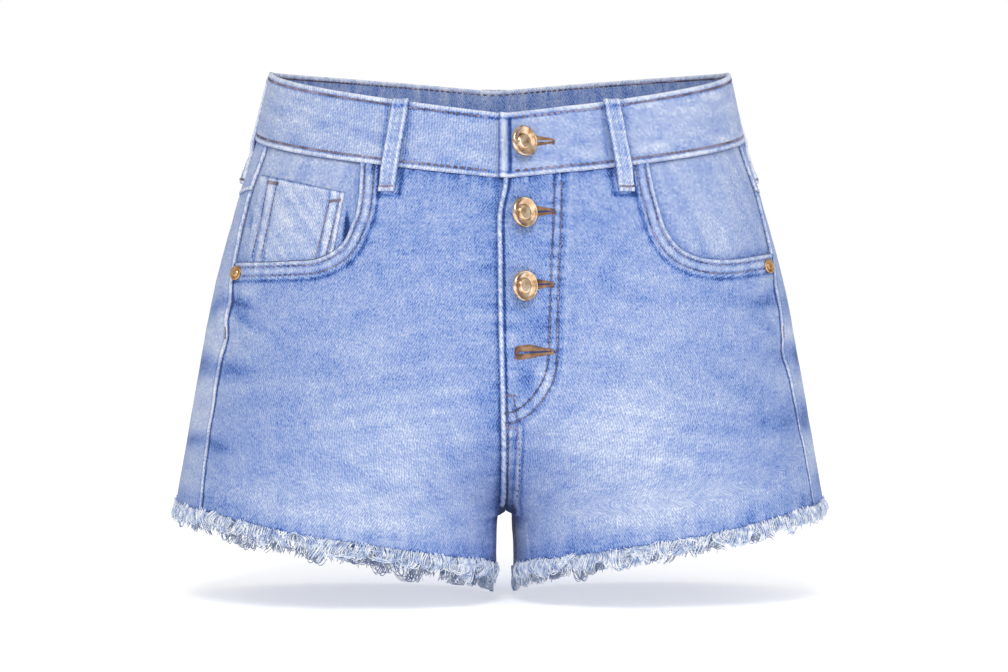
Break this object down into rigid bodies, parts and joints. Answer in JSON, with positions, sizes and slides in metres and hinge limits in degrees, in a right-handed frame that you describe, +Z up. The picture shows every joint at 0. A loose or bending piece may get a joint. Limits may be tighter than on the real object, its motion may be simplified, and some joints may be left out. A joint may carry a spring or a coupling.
{
  "type": "denim shorts",
  "caption": "High-waisted denim shorts, filled out as when worn, with an exposed button fly, curved front pockets, belt loops and raw frayed hems",
  "frame": {"origin": "middle of the waist, halfway up the waistband at the side seams, where a wearer's waist holds the garment", "axes": "+Z up out of the waist, -Y the way the front faces, +X towards the wearer's left"},
  "size_m": [0.3883, 0.2434, 0.315],
  "materials": {
    "denim": "washed blue cotton twill",
    "loose_threads": "pale frayed cotton threads",
    "button_brass": "polished, slightly worn",
    "rivet_copper": "coppery, slightly worn"
  },
  "bodies": {
    "root": {"waistband": "denim", "front_right": "denim", "front_left": "denim", "back_right": "denim", "back_left": "denim", "yoke_right": "denim", "yoke_left": "denim", "back_pocket_right": "denim", "back_pocket_left": "denim", "pocket_facing_right": "denim", "pocket_facing_left": "denim", "coin_pocket": "denim", "fly_shield": "denim", "belt_loop_front_right": "denim", "belt_loop_side_right": "denim", "belt_loop_centre_back": "denim", "belt_loop_side_left": "denim", "belt_loop_front_left": "denim", "hem_fringe_right": "loose_threads", "hem_fringe_left": "loose_threads", "button_1": "button_brass", "button_2": "button_brass", "button_3": "button_brass", "rivet_right": "rivet_copper", "rivet_left": "rivet_copper"}
  },
  "joints": []
}
